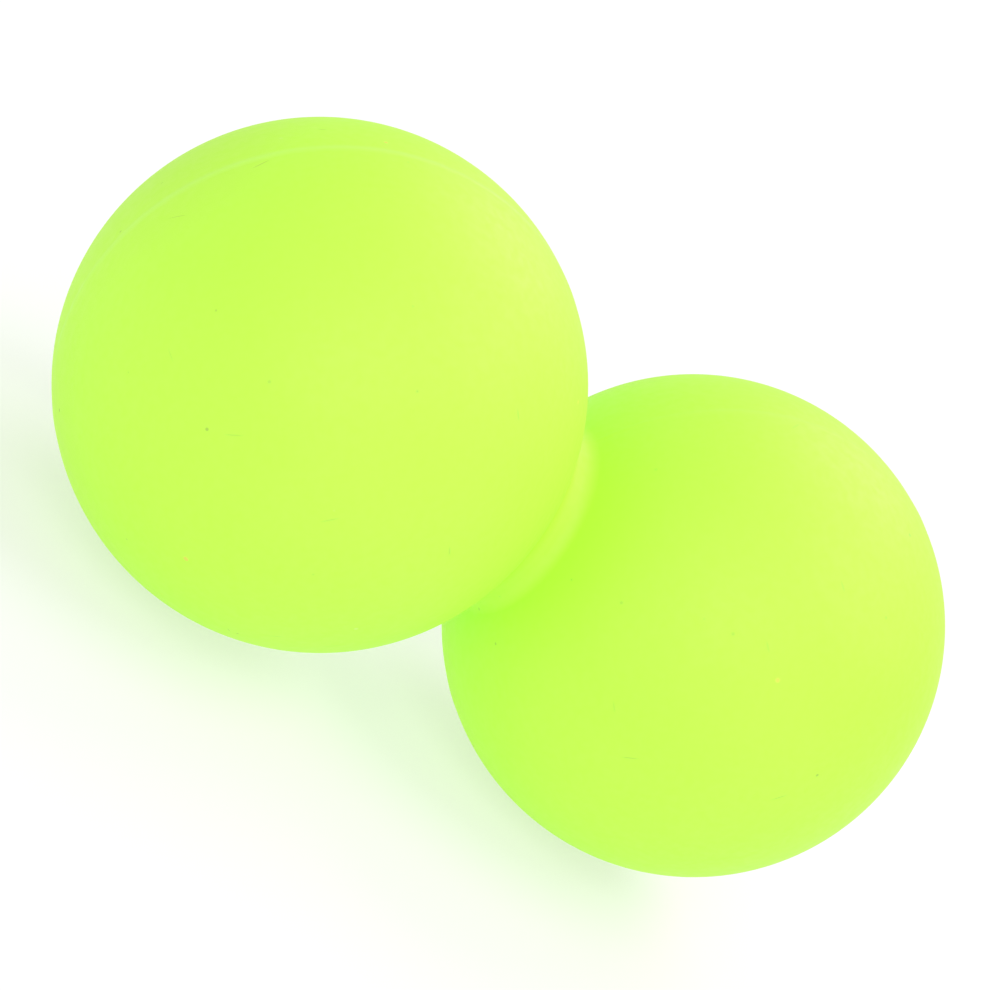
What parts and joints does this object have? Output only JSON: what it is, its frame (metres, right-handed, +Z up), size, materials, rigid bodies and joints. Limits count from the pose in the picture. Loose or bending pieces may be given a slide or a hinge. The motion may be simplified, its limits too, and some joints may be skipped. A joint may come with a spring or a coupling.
{
  "type": "peanut massage ball",
  "caption": "Peanut-shaped massage ball with firm round lobes on a short flexible waist, and a matte moulded silicone cover with a fine parting line.",
  "frame": {"origin": "on the surface that the object lies on, straight below the middle of the neck", "axes": "+X along the long axis from the left ball to the right ball, +Y to the rear across the upright plane in which the cover's halves meet, +Z up"},
  "size_m": [0.124, 0.063, 0.0628],
  "materials": {
    "lime_silicone": "matte moulded silicone, neon lime green, slightly translucent, with a fine dust-holding surface",
    "core_rubber": "plain matte rubber, off-white, hidden inside",
    "link_rubber": "plain matte rubber, dull green, hidden inside"
  },
  "bodies": {
    "left_ball": {"left_core": "core_rubber", "left_cover_front": "lime_silicone", "left_cover_rear": "lime_silicone"},
    "neck_core": {"neck_link": "link_rubber"},
    "neck_skin": {"neck_cover_front": "lime_silicone", "neck_cover_rear": "lime_silicone"},
    "right_ball": {"right_core": "core_rubber", "right_cover_front": "lime_silicone", "right_cover_rear": "lime_silicone"}
  },
  "joints": [
    {"name": "neck_bend", "type": "hinge", "parent": "left_ball", "child": "neck_core", "pos_m": [0, 0, 0.03135], "axis": [0, 1, 0], "range_deg": [-10, 10], "stiffness_Nm_per_rad": 2.6, "deforming": ["neck_link", "neck_cover_front", "neck_cover_rear"]},
    {"name": "neck_twist", "type": "hinge", "parent": "neck_core", "child": "neck_skin", "pos_m": [0, 0, 0.03135], "axis": [1, 0, 0], "range_deg": [-15, 15], "stiffness_Nm_per_rad": 1.7, "deforming": ["neck_link", "neck_cover_front", "neck_cover_rear"]},
    {"name": "neck_sway", "type": "hinge", "parent": "neck_skin", "child": "right_ball", "pos_m": [0, 0, 0.03135], "axis": [0, 0, 1], "range_deg": [-10, 10], "stiffness_Nm_per_rad": 2.6, "deforming": ["neck_link", "neck_cover_front", "neck_cover_rear"]}
  ]
}
